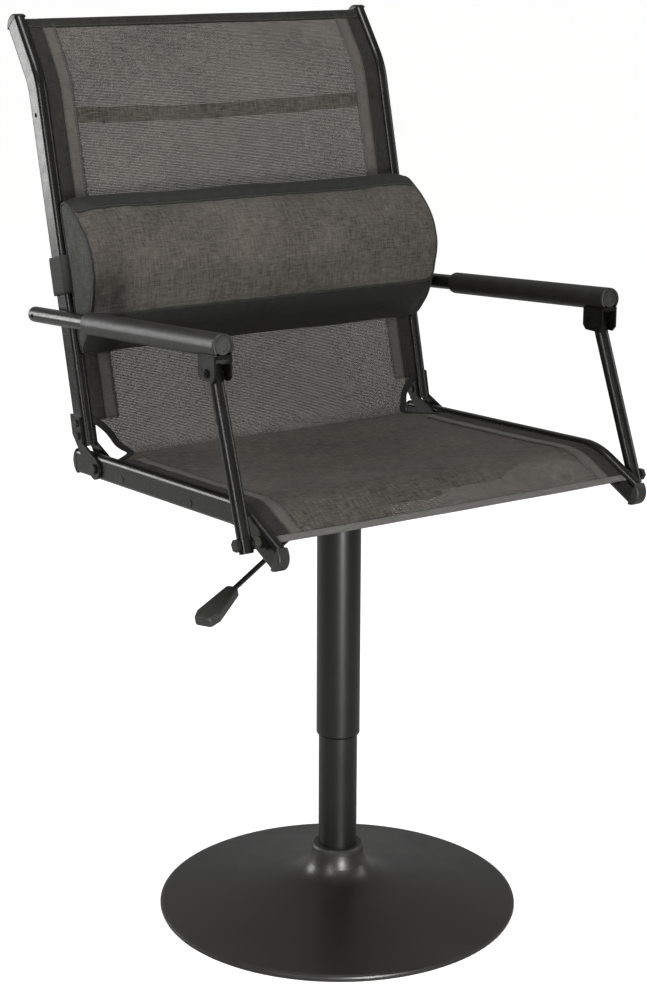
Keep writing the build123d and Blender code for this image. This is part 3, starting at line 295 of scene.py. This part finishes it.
def tube(name, pts, r, mat, closed=False, sides=10, flat=1.0):
    """A round cord swept along 3-D points."""
    p = np.array(pts, float)
    n = len(p)
    tang = np.roll(p, -1, 0) - np.roll(p, 1, 0) if closed else np.gradient(p, axis=0)
    tang /= np.linalg.norm(tang, axis=1)[:, None]
    ref = np.array([0.0, 0.0, 1.0]) if abs(tang[0][2]) < 0.8 else np.array([0.0, 1.0, 0.0])
    verts, frames = [], []
    for i in range(n):
        ref = ref - tang[i] * (ref @ tang[i])
        ref /= np.linalg.norm(ref)
        frames.append((ref.copy(), np.cross(tang[i], ref)))
    for i in range(n):
        a, b = frames[i]
        for k in range(sides):
            t = 2 * math.pi * k / sides
            verts.append(p[i] + r * (math.cos(t) * a + flat * math.sin(t) * b))
    faces = []
    for i in range(n if closed else n - 1):
        j = (i + 1) % n
        for k in range(sides):
            l = (k + 1) % sides
            faces.append((i * sides + k, i * sides + l, j * sides + l, j * sides + k))
    if not closed:
        faces.append(tuple(range(sides))[::-1])
        faces.append(tuple((n - 1) * sides + k for k in range(sides)))
    return make(name, verts, faces, mat)


# ------------------------------------------------------------------ the sling surface, millimetres
POST_D, POST_F = np.array([0.2425, 0.9701]), np.array([-0.9701, 0.2425])
FACE0 = np.array([217.95, 803.64])
CORNER = (167.98, 581.1)
S, PATH = fillet_path([(-246.2, 573.0), (-183.8, 600.8), CORNER, (278.2, 1022.7), (328.2, 1090.1)], [99.5, 30.0, 99.5], 1.0)
TAN = np.gradient(PATH, axis=0)
TAN /= np.linalg.norm(TAN, axis=1)[:, None]
NOR = np.c_[-TAN[:, 1], TAN[:, 0]]
S_END = S[-1]


def s_at(y, z):
    return float(S[np.argmin((PATH[:, 0] - y) ** 2 + (PATH[:, 1] - z) ** 2)])


S_FOLD, S_SEAT, S_BACK = s_at(160, 588), s_at(114, 589), s_at(176, 621)


def smooth(t):
    t = np.clip(t, 0, 1)
    return t * t * (3 - 2 * t)


def ridge(x, s, ox, os_, ang, length, width, amp):
    dx, ds = math.cos(ang), math.sin(ang)
    along = (x - ox) * dx + (s - os_) * ds
    across = -(x - ox) * ds + (s - os_) * dx
    across = across + 5 * np.sin(along / 37.0 + ox)
    w = width * (1 + 0.6 * np.clip(along / length, 0, 1))
    return amp * np.exp(-(across / w) ** 2) * smooth(along / 35.0) * smooth((length - along) / (0.6 * length))


def lift(x, s):
    """How far the cloth stands off the straight path, along its normal."""
    x, s = np.broadcast_arrays(np.asarray(x, float), np.asarray(s, float))
    d = np.zeros(x.shape)
    cross = np.clip(1 - (x / 241.0) ** 2, 0, 1)
    seat = smooth((s - 70) / 110.0) * smooth((S_FOLD - 20 - s) / 120.0)
    back = smooth((s - S_FOLD - 30) / 160.0) * smooth((S_END - s) / 120.0)
    d -= 5.0 * cross * seat + 5.5 * cross * back
    d -= 1.6 * cross * smooth((40 - s) / 40.0) * 0.6
    for sg in (-1, 1):
        ox = sg * 212.0
        inward = (lambda a: math.pi - a) if sg > 0 else (lambda a: a)
        k = 1.0 if sg < 0 else 0.85
        for ang, ln, wd, am in ((28, 210, 7, 2.0), (44, 260, 8, 1.7), (60, 300, 9, 1.5), (74, 260, 8, 1.1)):
            d += ridge(x, s, ox, S_FOLD + 18, inward(math.radians(ang)), ln, wd, am * k)
        for ang, ln, wd, am in ((24, 190, 9, 0.9), (42, 220, 11, 0.8), (62, 210, 12, 0.6)):
            d += ridge(x, s, ox, S_FOLD - 20, -inward(math.radians(ang)), ln, wd, am * k)
    d += 1.3 * np.sin((s - S_FOLD) / 8.5 + 0.9 * np.sin(x / 55.0)) * np.exp(-((s - S_FOLD) / 26.0) ** 2) * cross
    d += 0.55 * np.sin(x / 31.0 + 1.3 * np.sin(s / 63.0)) * np.sin(s / 71.0 + x / 140.0) * cross
    for xs, ph in ((-228.0, 0.0), (228.0, 1.7)):
        d += 0.35 * np.sin(s / 9.5 + ph + 0.7 * np.sin(s / 41.0)) * np.exp(-((x - xs) / 12.0) ** 2)
    return d


def surf(x, s, off=0.0):
    """A point of the sling at width x and path length s, stood off by off, in millimetres."""
    x, s = np.broadcast_arrays(np.asarray(x, float), np.asarray(s, float))
    i = np.interp(s, S, np.arange(len(S)))
    py, pz = np.interp(s, S, PATH[:, 0]), np.interp(s, S, PATH[:, 1])
    ny, nz = np.interp(s, S, NOR[:, 0]), np.interp(s, S, NOR[:, 1])
    edge = np.clip(1 - ((np.abs(x) - 236.0) / 8.0), 0, 1)
    h = lift(x, s) * edge + off
    return np.stack([x, py + ny * h, pz + nz * h], -1)


def slab(name, xs, ss, off, th, mat, body=None, bend=False):
    """A strip of cloth of thickness th lying on the sling: xs and ss are grids of width and path length."""
    r, c = xs.shape
    top = surf(xs, ss, off + th).reshape(-1, 3)
    bot = surf(xs, ss, off).reshape(-1, 3)
    verts = np.r_[top, bot] * MM
    uv = np.r_[np.c_[xs.ravel(), ss.ravel()], np.c_[xs.ravel(), ss.ravel()]] * MM
    n = r * c
    faces = []
    for i in range(r - 1):
        for j in range(c - 1):
            a = i * c + j
            faces.append((a, a + 1, a + c + 1, a + c))
            faces.append((n + a, n + a + c, n + a + c + 1, n + a + 1))
    rim = [j for j in range(c)] + [i * c + c - 1 for i in range(1, r)] + [(r - 1) * c + j for j in range(c - 2, -1, -1)] + [i * c for i in range(r - 2, 0, -1)]
    for k in range(len(rim)):
        a, b = rim[k], rim[(k + 1) % len(rim)]
        faces.append((a, n + a, n + b, b))
    o = make(name, verts, faces, mat, uv=uv)
    bm = bmesh.new()
    bm.from_mesh(o.data)
    bmesh.ops.recalc_face_normals(bm, faces=bm.faces)
    bm.to_mesh(o.data)
    bm.free()
    if bend:
        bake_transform(o)
    elif body:
        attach(o, body)
    return o


# The cut-out at each side where the post meets the rail, as half width against path length.
NOTCH = [(s_at(112, 589), 244.0), (s_at(122, 588), 236.0), (s_at(138, 583), 219.0), (s_at(150, 580), 209.0), (s_at(156, 583), 207.5),
         (s_at(159, 588), 211.0), (s_at(161, 596), 216.0), (s_at(166, 604), 221.0), (s_at(172, 612), 229.0), (s_at(176, 618), 237.0), (s_at(177, 622), 244.0)]
NOTCH = sorted(NOTCH)
EDGE = catmull(NOTCH, 8)


def half_width(s):
    return np.interp(s, EDGE[:, 0], EDGE[:, 1], left=244.0, right=244.0)


# ------------------------------------------------------------------ sling
rows = np.unique(np.r_[np.arange(0, S_SEAT - 6, 4.5), np.arange(S_SEAT - 6, S_BACK + 8, 1.6), np.arange(S_BACK + 8, S_END, 4.5), S_END])
u = np.linspace(-1, 1, 129)
HW = half_width(rows)
XS = u[None, :] * HW[:, None]
SS = np.repeat(rows[:, None], len(u), 1)
sling = slab("sling_cloth", XS, SS, -0.1, 0.2, SLING, bend=True)
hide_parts("seat_sling", "back_sling")

for sg, side in ((-1, "right"), (1, "left")):
    for part, a, b, body in (("seat", 2.0, NOTCH[0][0] - 1.0, "seat"), ("back", NOTCH[-1][0] + 1.0, S_END - 12.0, "back")):
        sv = np.arange(a, b, 4.0)
        sv = np.r_[sv, b]
        hem_x = sg * np.linspace(222.0, 240.6, 7)
        tape_x = sg * np.linspace(205.5, 222.2, 6)
        slab(f"side_hem_{part}_{side}", np.repeat(hem_x[None], len(sv), 0), np.repeat(sv[:, None], 7, 1), 0.25, 0.9, HEM, body)
        slab(f"side_tape_{part}_{side}", np.repeat(tape_x[None], len(sv), 0), np.repeat(sv[:, None], 6, 1), 0.25, 0.6, TAPE, body)
    # binding round the cut-out
    ed = EDGE[(EDGE[:, 1] < 242.0)]
    tx = np.gradient(ed[:, 1])
    ts = np.gradient(ed[:, 0])
    ln = np.hypot(tx, ts)
    nx, ns = -ts / ln, tx / ln
    for _ in range(2):
        nx, ns = np.convolve(np.pad(nx, 2, "edge"), np.ones(5) / 5, "valid"), np.convolve(np.pad(ns, 2, "edge"), np.ones(5) / 5, "valid")
    wd = np.linspace(-0.6, 7.5, 6)
    gx = ed[:, 1][:, None] + nx[:, None] * wd[None]
    gs = ed[:, 0][:, None] + ns[:, None] * wd[None]
    slab(f"cutout_binding_{side}", sg * np.minimum(gx, 240.6), gs, 0.3, 1.0, BIND, bend=True)
    slab(f"cutout_binding_under_{side}", sg * np.minimum(gx, 240.6), gs, -1.2, 0.9, BIND, bend=True)

xw = np.linspace(-240.6, 240.6, 97)
for nm, a, b, off, th, m, body in (("top_hem", S_END - 13.0, S_END - 0.3, 0.3, 1.2, HEM, "back"), ("front_hem", 0.3, 9.0, 0.3, 1.2, FRONTWEB, "seat")):
    sv = np.linspace(a, b, 5)
    slab(nm, np.repeat(xw[None], 5, 0), np.repeat(sv[:, None], 97, 1), off, th, m, body)


def stitches(name, lines, body, length=3.0, pitch=4.4, width=0.55, off=0.75, mat=None):
    """Dashes of thread along lines in (x, s)."""
    verts, faces = [], []
    for line in lines:
        line = np.array(line, float)
        d = np.r_[0, np.cumsum(np.linalg.norm(np.diff(line, axis=0), axis=1))]
        for k in range(int(d[-1] // pitch)):
            t = np.array([k * pitch, k * pitch + length / 2, k * pitch + length])
            px, ps = np.interp(t, d, line[:, 0]), np.interp(t, d, line[:, 1])
            dx, ds = px[2] - px[0], ps[2] - ps[0]
            l = math.hypot(dx, ds)
            nx_, ns_ = -ds / l * width / 2, dx / l * width / 2
            base = len(verts)
            for i, h in enumerate((0.0, 0.45, 0.0)):
                for q, hh in ((-1, -0.15), (0, 0.35), (1, -0.15)):
                    verts.append(surf(px[i] + q * nx_, ps[i] + q * ns_, off + h * 0.6 + hh) * MM)
            for i in range(2):
                for j in range(2):
                    a = base + i * 3 + j
                    faces.append((a, a + 1, a + 4, a + 3))
    o = make(name, verts, faces, mat or THREAD)
    sol = o.modifiers.new("solid", "SOLIDIFY")
    sol.thickness = 0.0003
    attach(o, body)
    return o


seat_a, seat_b, back_a, back_b = 4.0, NOTCH[0][0] - 3.0, NOTCH[-1][0] + 3.0, S_END - 4.0
stitches("stitching_seat", [[(sg * x, seat_a), (sg * x, seat_b)] for sg in (-1, 1) for x in (204.6, 207.6, 220.6)]
         + [[(-238, 7.6), (238, 7.6)]], "seat", off=1.05)
stitches("stitching_back", [[(sg * x, back_a), (sg * x, back_b)] for sg in (-1, 1) for x in (204.6, 207.6, 220.6)]
         + [[(-238, S_END - 11.2), (238, S_END - 11.2)]], "back", off=1.05)


# ------------------------------------------------------------------ lumbar cushion
def face_pt(t, s):
    return FACE0 + POST_F * t + POST_D * s


PROFILE = [(189.8, 698.5), (177.5, 712), (168, 724), (159.5, 740), (153.5, 757), (150, 774), (147.5, 790), (146.8, 802), (148.6, 813), (152, 825),
           (158.5, 838), (170, 853.5), (187.5, 868.5), (197.5, 875.5), (210, 883), (221.5, 886.5), (230.5, 885.5), (234.3, 879),
           (229.5, 858), (219.5, 818), (209.5, 778), (199.5, 738), (191.3, 705)]
PROFILE = catmull(PROFILE, 5, closed=True)
CX = 250.0


def ring_at(x, grow=0.0):
    """The cushion's section at x: fuller in the middle, drawn in a little at the sewn ends."""
    c = np.array([192.0, 798.0])
    f = abs(x) / CX
    scale = 1.0 - 0.055 * smooth((abs(x) - 228.0) / 22.0) ** 1.5
    p = c + (PROFILE - c) * scale
    d = p - c
    p = p + d / np.linalg.norm(d, axis=1)[:, None] * grow
    # the back stays on its plane
    t = (p - FACE0) @ POST_F
    p = p + np.maximum(2.0 - t, 0)[:, None] * POST_F
    return p


def cushion_mesh(name, grow):
    xs = np.r_[-CX, -247.0, np.linspace(-243, 243, 82), 247.0, CX]
    n = len(PROFILE)
    verts, faces = [], []
    for x in xs:
        for p in ring_at(x, grow):
            verts.append((x, p[0], p[1]))
    for i in range(len(xs) - 1):
        for k in range(n):
            l = (k + 1) % n
            faces.append((i * n + k, i * n + l, (i + 1) * n + l, (i + 1) * n + k))
    faces.append(tuple(range(n))[::-1])
    faces.append(tuple((len(xs) - 1) * n + k for k in range(n)))
    return make(name, np.array(verts) * MM, faces, PAD_FRONT)


cushion = cushion_mesh("lumbar_pad", -1.2)
bpy.context.view_layer.objects.active = cushion
cushion.select_set(True)
rm = cushion.modifiers.new("remesh", "REMESH")
rm.mode = "VOXEL"
rm.voxel_size = 0.0045
bpy.ops.object.modifier_apply(modifier=rm.name)
start = np.array([v.co for v in cushion.data.vertices], float)
cl = cushion.modifiers.new("cloth", "CLOTH")
cs = cl.settings
cs.quality = 4
cs.mass = 0.25
cs.use_pressure = True
cs.uniform_pressure_force = 9.0
cs.tension_stiffness = cs.compression_stiffness = 25.0
cs.shear_stiffness = 12.0
cs.bending_stiffness = 1.2
cs.effector_weights.gravity = 0.0
cl.collision_settings.use_collision = False
cl.point_cache.frame_start, cl.point_cache.frame_end = 1, 20
for f in range(1, 21):
    scene.frame_set(f)
dg = bpy.context.evaluated_depsgraph_get()
ev = cushion.evaluated_get(dg).to_mesh()
now = np.array([v.co for v in ev.vertices], float)
cushion.modifiers.remove(cl)
scene.frame_set(1)
mv = now - start
n0 = np.zeros(len(start) * 3)
cushion.data.vertices.foreach_get("normal", n0)
n0 = n0.reshape(-1, 3)
outward = np.sum(mv * n0, axis=1)
mv += n0 * np.maximum(0.0006 - outward, 0)[:, None]
ln = np.linalg.norm(mv, axis=1)
cap = 0.0045
mv *= np.minimum(1, cap / np.maximum(ln, 1e-9))[:, None]
co = (start + mv) * 1000.0
# the back lies against the posts' plane, and the ends stay inside the pad's width
t = (co[:, 1:] - FACE0) @ POST_F
co[:, 1:] += np.maximum(1.9 - t, 0)[:, None] * POST_F
co[:, 0] = np.clip(co[:, 0], -252.5, 252.5)
SEAM_LOW, SEAM_TOP = np.array([154.0, 755.5]), np.array([196.0, 874.5])
centre = np.array([192.0, 798.0])
for seam, depth in ((SEAM_LOW, 1.6), (SEAM_TOP, 1.5)):
    d = np.linalg.norm(co[:, 1:] - seam, axis=1)
    pull = depth * np.exp(-(d / 5.5) ** 2)
    pucker = 0.55 * np.sin(co[:, 0] / 4.2 + 2 * np.sin(co[:, 0] / 29.0)) * np.exp(-((d - 9) / 9.0) ** 2)
    out = co[:, 1:] - centre
    out /= np.linalg.norm(out, axis=1)[:, None]
    co[:, 1:] -= out * (pull - pucker)[:, None]
# slow swells and the creases near each end
sw = 0.9 * np.sin(co[:, 0] / 47.0 + co[:, 2] / 60.0) * np.sin(co[:, 0] / 113.0 + 0.6)
endw = np.exp(-((np.abs(co[:, 0]) - 232.0) / 16.0) ** 2)
fold = 1.3 * endw * np.sin(co[:, 2] / 5.6 + np.abs(co[:, 0]) / 9.0) * smooth((803 - co[:, 2]) / 30.0)
out = co[:, 1:] - centre
out /= np.linalg.norm(out, axis=1)[:, None]
backness = smooth(((co[:, 1:] - FACE0) @ POST_F - 4.0) / 8.0)
co[:, 1:] += out * ((sw + fold) * backness)[:, None]
cushion.data.vertices.foreach_set("co", (co * MM).astype(np.float32).ravel())
sub = cushion.modifiers.new("sub", "SUBSURF")
sub.levels = sub.render_levels = 1
bpy.ops.object.modifier_apply(modifier=sub.name)
me = cushion.data
me.materials.clear()
for m in (PAD_FRONT, PAD_TOP, PAD_LOW_AND_SHADE, PAD_END):
    me.materials.append(m)
cen = np.zeros(len(me.polygons) * 3)
me.polygons.foreach_get("center", cen)
nor = np.zeros(len(me.polygons) * 3)
me.polygons.foreach_get("normal", nor)
cen, nor = cen.reshape(-1, 3) * 1000, nor.reshape(-1, 3)
idx = np.zeros(len(cen), np.int32)
idx[(cen[:, 1] > 197.0) & (cen[:, 2] > 862)] = 1
# faces below the lower seam take the darker cloth, which is painted shade on the underside as well as the black
# lower panel; the back against the posts gets the same cloth
idx[cen[:, 2] < 755.5] = 2
tt = (cen[:, 1:] - FACE0) @ POST_F
idx[(tt < 4.5) & (cen[:, 2] < 868)] = 2
idx[(np.abs(nor[:, 0]) > 0.72) & (np.abs(cen[:, 0]) > 240)] = 3
me.polygons.foreach_set("material_index", idx)
me.polygons.foreach_set("use_smooth", [True] * len(me.polygons))
cushion.select_set(False)
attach(cushion, "lumbar")
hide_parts("lumbar_cushion")

from mathutils.kdtree import KDTree
tree = KDTree(len(cushion.data.vertices))
for v in cushion.data.vertices:
    tree.insert(v.co, v.index)
tree.balance()


def laid(pts, stand):
    """Points moved onto the pad's skin, standing off by stand, in metres."""
    out_ = []
    for q in pts:
        co_n, no_n = Vector((0, 0, 0)), Vector((0, 0, 0))
        for c_, i_, d_ in tree.find_n(Vector(q), 4):
            co_n += c_ / 4
            no_n += cushion.data.vertices[i_].normal / 4
        out_.append(co_n + no_n.normalized() * stand)
    out_ = np.array(out_)
    return out_


def eased(p, closed, times=3):
    for _ in range(times):
        a_, b_ = np.roll(p, 1, 0), np.roll(p, -1, 0)
        if not closed:
            a_[0], b_[-1] = p[0], p[-1]
        p = (a_ + 2 * p + b_) / 4
    return p


for sg, side in ((-1, "right"), (1, "left")):
    p = ring_at(sg * 246.0, 0.5)
    pts = eased(laid(np.c_[np.full(len(p), sg * 250.5), p] * MM, 0.0004), True)
    o = tube(f"pad_piping_{side}", pts, 0.0018, PIPING, closed=True)
    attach(o, "lumbar")
for nm, at in (("pad_seam_lower", SEAM_LOW), ("pad_seam_upper", SEAM_TOP)):
    xs = np.linspace(-247, 247, 160)
    d = (at - centre) / np.linalg.norm(at - centre)
    wob = 0.25 * np.sin(xs / 4.2 + 2 * np.sin(xs / 29.0))
    pts = eased(laid(np.c_[xs, at[0] + d[0] * wob, at[1] + d[1] * wob] * MM, 0.0002), False)
    o = tube(nm, pts, 0.0017, PIPING)
    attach(o, "lumbar")

# strap round both posts, carrying the pad
X0, X1 = 256.9, 257.0
loop = []
corners = [(256.3, 3.0), (256.3, -31.6), (-256.3, -31.6), (-256.3, 3.0)]
lp = []
pts2 = [np.array(c, float) for c in corners]
rad = 5.0
lp.append((244.0, 3.0))
for i, c in enumerate(pts2):
    prev = np.array((244.0, 3.0)) if i == 0 else pts2[i - 1]
    nxt = np.array((-244.0, 3.0)) if i == 3 else pts2[i + 1]
    a, b = (prev - c) / np.linalg.norm(prev - c), (nxt - c) / np.linalg.norm(nxt - c)
    for k in range(9):
        w = k / 8
        q = c + a * rad * (1 - w) ** 2 + b * rad * w ** 2
        lp.append(tuple(q))
lp.append((-244.0, 3.0))
lp = np.array(lp)
dense = [lp[0]]
for a, b in zip(lp[:-1], lp[1:]):
    k = max(1, int(np.linalg.norm(b - a) / 12))
    for j in range(1, k + 1):
        dense.append(a + (b - a) * j / k)
lp = np.array(dense)
arc = np.r_[0, np.cumsum(np.linalg.norm(np.diff(lp, axis=0), axis=1))]
tn = np.gradient(lp, axis=0)
tn /= np.linalg.norm(tn, axis=1)[:, None]
nn = np.c_[tn[:, 1], -tn[:, 0]]
if (nn[len(nn) // 2] @ np.array([0, -1.0])) < 0:
    nn = -nn
sv = np.linspace(-31.0, 15.0, 13)
verts, uv = [], []
for lay in (1.25, 0.0):
    for i in range(len(lp)):
        for s_ in sv:
            edge = 0.35 * (1 if abs(s_ + 8) > 21 else 0)
            q = lp[i] + nn[i] * (lay - edge * (1 if lay > 0 else -0.3))
            yz = FACE0 + POST_F * q[1] + POST_D * s_
            verts.append((q[0], yz[0], yz[1]))
            uv.append((arc[i], s_))
n, c = len(lp) * len(sv), len(sv)
faces = []
for i in range(len(lp) - 1):
    for j in range(c - 1):
        a = i * c + j
        faces.append((a, a + 1, a + c + 1, a + c))
        faces.append((n + a, n + a + c, n + a + c + 1, n + a + 1))
r_ = len(lp)
rim = [j for j in range(c)] + [i * c + c - 1 for i in range(1, r_)] + [(r_ - 1) * c + j for j in range(c - 2, -1, -1)] + [i * c for i in range(r_ - 2, 0, -1)]
for k in range(len(rim)):
    a, b = rim[k], rim[(k + 1) % len(rim)]
    faces.append((a, n + a, n + b, b))
strap = make("lumbar_webbing", np.array(verts) * MM, faces, STRAP, uv=np.array(uv) * MM)
bm = bmesh.new()
bm.from_mesh(strap.data)
bmesh.ops.recalc_face_normals(bm, faces=bm.faces)
bm.to_mesh(strap.data)
bm.free()
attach(strap, "lumbar")
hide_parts("lumbar_strap")

# ------------------------------------------------------------------ stage, light and camera
fm, fnt, fb = new_mat("studio_floor")
fnt.links.new(ramp(fnt, noise_of(fnt, 1.3, 3.0), [(0.3, (0.44, 0.44, 0.43)), (0.7, (0.46, 0.46, 0.45))]), fb.inputs["Base Color"])
fb.inputs["Roughness"].default_value = 0.6
fb.inputs["Specular IOR Level"].default_value = 0.1
fb.inputs["Emission Color"].default_value = (1, 1, 1, 1)
ray = node(fnt, "ShaderNodeLightPath")
fnt.links.new(to_range(fnt, ray.outputs["Is Camera Ray"], 0.03, 0.82, 0.0, 1.0), fb.inputs["Emission Strength"])
floor = make("studio_ground", [(-70, -70, 0), (70, -70, 0), (70, 70, 0), (-70, 70, 0)], [(0, 1, 2, 3)], fm, smooth=False)

world = bpy.data.worlds.new("studio")
scene.world = world
world.use_nodes = True
wb = world.node_tree.nodes["Background"]
wb.inputs["Color"].default_value = (1.0, 1.0, 1.0, 1)
wb.inputs["Strength"].default_value = 0.34


def area(name, loc, target, size, power, size_y=None):
    l = bpy.data.lights.new(name, "AREA")
    l.shape = "RECTANGLE"
    l.size, l.size_y = size, size_y or size
    l.energy = power
    o = bpy.data.objects.new(name, l)
    scene.collection.objects.link(o)
    o.location = loc
    o.rotation_mode = "QUATERNION"
    o.rotation_quaternion = (Vector(target) - Vector(loc)).to_track_quat("-Z", "Y")
    o.visible_camera = False
    return o


area("softbox_left", (-1.75, 2.45, 1.05), (0, 0.1, 0.9), 1.2, 46, 1.15)
area("softbox_top", (-0.5, -0.3, 2.8), (0, 0, 0.5), 0.9, 50)
area("softbox_front", (-2.7, -1.4, 1.7), (0, 0, 0.7), 0.5, 46, 1.3)
area("strip_front", (-0.55, -2.1, 0.40), (0, 0, 0.35), 0.16, 60, 0.76)
area("softbox_right", (2.3, -1.0, 1.5), (0, 0, 0.6), 0.4, 16, 1.5)

A, E, R = math.radians(-33.44068), math.radians(15.23760), math.radians(0.20628)
back = Vector((math.sin(A) * math.cos(E), -math.cos(A) * math.cos(E), math.sin(E)))
right = Vector((math.cos(A), math.sin(A), 0))
up = back.cross(right)
r2 = right * math.cos(R) + up * math.sin(R)
u2 = up * math.cos(R) - right * math.sin(R)
cam = bpy.data.cameras.new("camera")
cam.sensor_width = 36.0
cam.lens = 2197.3546 / 1000 * 36.0
co_ = bpy.data.objects.new("camera", cam)
scene.collection.objects.link(co_)
co_.matrix_world = Matrix(((r2.x, u2.x, back.x, -1.4335434), (r2.y, u2.y, back.y, -2.1359668), (r2.z, u2.z, back.z, 1.2286536), (0, 0, 0, 1)))
cam.clip_start, cam.clip_end = 0.05, 300
scene.camera = co_
scene.view_settings.view_transform = "Standard"
scene.view_settings.look = "None"
